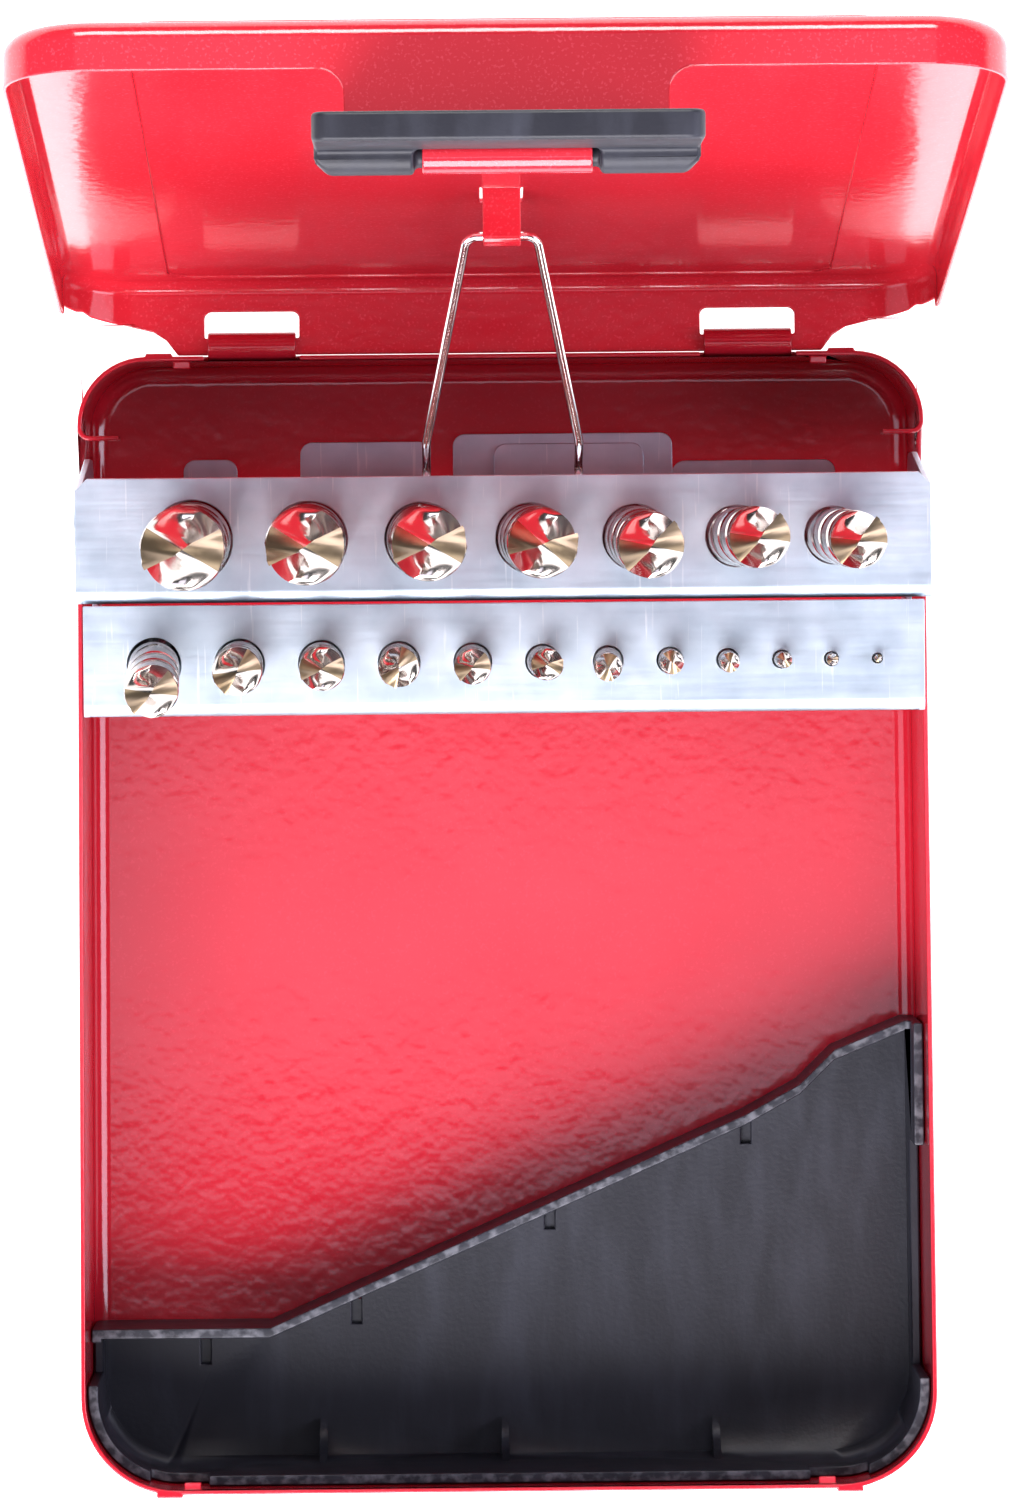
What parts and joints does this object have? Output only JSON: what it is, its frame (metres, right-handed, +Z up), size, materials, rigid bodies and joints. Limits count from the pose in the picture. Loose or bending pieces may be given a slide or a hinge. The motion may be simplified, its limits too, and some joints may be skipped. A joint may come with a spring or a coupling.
{
  "type": "drill bit case",
  "caption": "Hinged sheet-metal case for twist drill bits, open, with two lifting hole racks, a wire pull linked to the lid, a plastic clasp and a stepped stop tray",
  "frame": {"origin": "centre of the tray's flat underside, midway between its side walls and its end walls", "axes": "+Z up; +Y towards the lid hinge; +X to the right seen from above with the hinge at the top"},
  "size_m": [0.114, 0.1821, 0.1997],
  "materials": {
    "red_enamel_tray": "gloss red enamel on thin sheet",
    "red_enamel_lid": "gloss red enamel on thin sheet",
    "black_plastic_liner": "moulded matt black plastic",
    "black_plastic_clasp": "moulded matt black plastic",
    "rivet_steel": "plain steel rivet",
    "zinc_rear_rack": "zinc-coated sheet, bluish",
    "zinc_front_rack": "zinc-coated sheet, bluish",
    "zinc_seat_plate": "zinc-coated sheet, bluish",
    "bright_wire": "bright nickel-plated wire",
    "bright_drill_steel": "ground high-speed steel, bright"
  },
  "bodies": {
    "tray": {"tray_shell": "red_enamel_tray", "bit_stop_liner": "black_plastic_liner", "pivot_rivets": "rivet_steel"},
    "lid": {"lid_shell": "red_enamel_lid"},
    "clasp": {"clasp": "black_plastic_clasp"},
    "rack": {"rear_rack": "zinc_rear_rack", "front_rack": "zinc_front_rack", "seat_plate": "zinc_seat_plate"},
    "wire": {"pull_wire": "bright_wire"},
    "drill_bit_10p0": {"drill_bit_10p0": "bright_drill_steel"},
    "drill_bit_9p5": {"drill_bit_9p5": "bright_drill_steel"},
    "drill_bit_9p0": {"drill_bit_9p0": "bright_drill_steel"},
    "drill_bit_8p5": {"drill_bit_8p5": "bright_drill_steel"},
    "drill_bit_8p0": {"drill_bit_8p0": "bright_drill_steel"},
    "drill_bit_7p5": {"drill_bit_7p5": "bright_drill_steel"},
    "drill_bit_7p0": {"drill_bit_7p0": "bright_drill_steel"},
    "drill_bit_6p5": {"drill_bit_6p5": "bright_drill_steel"},
    "drill_bit_6p0": {"drill_bit_6p0": "bright_drill_steel"},
    "drill_bit_5p5": {"drill_bit_5p5": "bright_drill_steel"},
    "drill_bit_5p0": {"drill_bit_5p0": "bright_drill_steel"},
    "drill_bit_4p5": {"drill_bit_4p5": "bright_drill_steel"},
    "drill_bit_4p0": {"drill_bit_4p0": "bright_drill_steel"},
    "drill_bit_3p5": {"drill_bit_3p5": "bright_drill_steel"},
    "drill_bit_3p0": {"drill_bit_3p0": "bright_drill_steel"},
    "drill_bit_2p5": {"drill_bit_2p5": "bright_drill_steel"},
    "drill_bit_2p0": {"drill_bit_2p0": "bright_drill_steel"},
    "drill_bit_1p5": {"drill_bit_1p5": "bright_drill_steel"},
    "drill_bit_1p0": {"drill_bit_1p0": "bright_drill_steel"}
  },
  "joints": [
    {"name": "lid_hinge", "type": "hinge", "parent": "tray", "child": "lid", "pos_m": [0, 0.07525, 0.0289], "axis": [1, 0, 0], "range_deg": [0, 99]},
    {"name": "rack_pivot", "type": "hinge", "parent": "tray", "child": "rack", "pos_m": [0, 0.052, 0.0254], "axis": [1, 0, 0], "range_deg": [0, 90]},
    {"name": "wire_pivot", "type": "hinge", "parent": "lid", "child": "wire", "pos_m": [0, 0.08685, 0.08427], "axis": [1, 0, 0], "range_deg": [0, 41.3]},
    {"name": "clasp_hinge", "type": "hinge", "parent": "lid", "child": "clasp", "pos_m": [0, 0.09154, 0.17971], "axis": [1, 0, 0], "range_deg": [-20, 81]},
    {"name": "drill_bit_10p0_lift", "type": "slide", "parent": "rack", "child": "drill_bit_10p0", "axis": [-0.0174, 0.0192, -0.9997], "range_m": [-0.046, 0]},
    {"name": "drill_bit_9p5_lift", "type": "slide", "parent": "rack", "child": "drill_bit_9p5", "axis": [-0.0105, 0.0175, -0.9998], "range_m": [-0.046, 0]},
    {"name": "drill_bit_9p0_lift", "type": "slide", "parent": "rack", "child": "drill_bit_9p0", "axis": [-0.014, 0.0157, -0.9998], "range_m": [-0.046, 0]},
    {"name": "drill_bit_8p5_lift", "type": "slide", "parent": "rack", "child": "drill_bit_8p5", "axis": [-0.0105, 0.0175, -0.9998], "range_m": [-0.046, 0]},
    {"name": "drill_bit_8p0_lift", "type": "slide", "parent": "rack", "child": "drill_bit_8p0", "axis": [-0.0035, 0.0227, -0.9997], "range_m": [-0.046, 0]},
    {"name": "drill_bit_7p5_lift", "type": "slide", "parent": "rack", "child": "drill_bit_7p5", "axis": [-0.0096, 0.0105, -0.9999], "range_m": [-0.046, 0]},
    {"name": "drill_bit_7p0_lift", "type": "slide", "parent": "rack", "child": "drill_bit_7p0", "axis": [-0.0017, 0.0175, -0.9998], "range_m": [-0.046, 0]},
    {"name": "drill_bit_6p5_lift", "type": "slide", "parent": "rack", "child": "drill_bit_6p5", "axis": [-0.0296, 0.0401, -0.9988], "range_m": [-0.0325, 0]},
    {"name": "drill_bit_6p0_lift", "type": "slide", "parent": "rack", "child": "drill_bit_6p0", "axis": [-0.0192, 0.0079, -0.9998], "range_m": [-0.0325, 0]},
    {"name": "drill_bit_5p5_lift", "type": "slide", "parent": "rack", "child": "drill_bit_5p5", "axis": [-0.0157, 0.0035, -0.9999], "range_m": [-0.0325, 0]},
    {"name": "drill_bit_5p0_lift", "type": "slide", "parent": "rack", "child": "drill_bit_5p0", "axis": [-0.0052, 0.0035, -1], "range_m": [-0.0325, 0]},
    {"name": "drill_bit_4p5_lift", "type": "slide", "parent": "rack", "child": "drill_bit_4p5", "axis": [0.0035, 0.0052, -1], "range_m": [-0.0325, 0]},
    {"name": "drill_bit_4p0_lift", "type": "slide", "parent": "rack", "child": "drill_bit_4p0", "axis": [-0.0026, 0.0017, -1], "range_m": [-0.0325, 0]},
    {"name": "drill_bit_3p5_lift", "type": "slide", "parent": "rack", "child": "drill_bit_3p5", "axis": [0.0192, 0.014, -0.9997], "range_m": [-0.0325, 0]},
    {"name": "drill_bit_3p0_lift", "type": "slide", "parent": "rack", "child": "drill_bit_3p0", "axis": [0.0175, 0.0017, -0.9998], "range_m": [-0.0325, 0]},
    {"name": "drill_bit_2p5_lift", "type": "slide", "parent": "rack", "child": "drill_bit_2p5", "axis": [0.0227, 0.007, -0.9997], "range_m": [-0.0325, 0]},
    {"name": "drill_bit_2p0_lift", "type": "slide", "parent": "rack", "child": "drill_bit_2p0", "axis": [0.0175, 0, -0.9998], "range_m": [-0.0325, 0]},
    {"name": "drill_bit_1p5_lift", "type": "slide", "parent": "rack", "child": "drill_bit_1p5", "axis": [0.0279, 0.0087, -0.9996], "range_m": [-0.0325, 0]},
    {"name": "drill_bit_1p0_lift", "type": "slide", "parent": "rack", "child": "drill_bit_1p0", "axis": [-0.0105, -0.0052, -0.9999], "range_m": [-0.0325, 0]}
  ],
  "couplings": [
    {"joint": "rack_pivot", "follows": "lid_hinge", "ratio": 0.90909},
    {"joint": "wire_pivot", "follows": "lid_hinge", "ratio": 0.41717}
  ]
}
